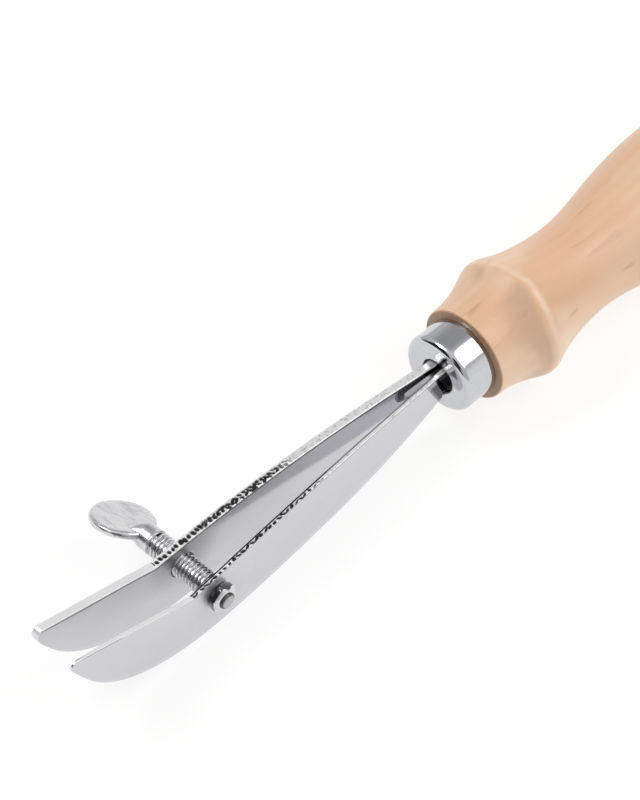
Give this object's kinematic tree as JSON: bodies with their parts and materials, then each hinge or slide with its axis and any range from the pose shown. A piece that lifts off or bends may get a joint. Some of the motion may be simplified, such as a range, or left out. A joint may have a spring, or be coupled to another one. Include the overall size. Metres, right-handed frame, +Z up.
{
  "type": "adjustable edge creaser",
  "caption": "Adjustable leather edge creaser: two upswept steel blades in a turned wooden handle, their gap set by a captive thumb screw.",
  "frame": {"origin": "centre of the small flat on the butt of the handle", "axes": "+X along the tool from the butt to the blade tips; +Y from the thumb paddle towards the nut, across the gap; +Z up, towards the side the tips sweep to"},
  "size_m": [0.1802, 0.038, 0.026],
  "materials": {
    "wood": "smooth pale birch with a thin clear finish",
    "ferrule_chrome": "bright nickel or chrome plate",
    "tang_steel": "dull steel",
    "blade_steel": "polished steel, finely brushed",
    "fastener_steel": "bright plated steel"
  },
  "bodies": {
    "grip": {"handle": "wood", "ferrule": "ferrule_chrome", "far_tang": "tang_steel", "near_tang": "tang_steel", "root_spacer": "tang_steel"},
    "far_arm": {"far_blade": "blade_steel"},
    "near_arm": {"near_blade": "blade_steel"},
    "washer": {"thrust_washer": "fastener_steel"},
    "screw": {"thumb_screw": "fastener_steel", "retaining_nut": "fastener_steel"}
  },
  "joints": [
    {"name": "far_blade_flex", "type": "hinge", "parent": "grip", "child": "far_arm", "pos_m": [0.083, -0.00153, 0], "axis": [0, 0, 1], "range_deg": [-0.72, 2.17]},
    {"name": "near_blade_flex", "type": "hinge", "parent": "grip", "child": "near_arm", "pos_m": [0.083, 0.00113, 0], "axis": [0, 0, -1], "range_deg": [-0.74, 2.19]},
    {"name": "washer_rock", "type": "hinge", "parent": "near_arm", "child": "washer", "pos_m": [0.14645, 0.0045, -0.00314], "axis": [0, 0, 1], "range_deg": [-0.74, 2.19]},
    {"name": "screw_turn", "type": "hinge", "parent": "washer", "child": "screw", "pos_m": [0.14645, 0.0045, -0.00314], "axis": [0, -1, 0], "range_deg": [-720, 2160]}
  ],
  "couplings": [
    {"joint": "near_blade_flex", "follows": "far_blade_flex", "ratio": 1},
    {"joint": "washer_rock", "follows": "far_blade_flex", "ratio": 1},
    {"joint": "screw_turn", "follows": "far_blade_flex", "ratio": 996.7}
  ]
}
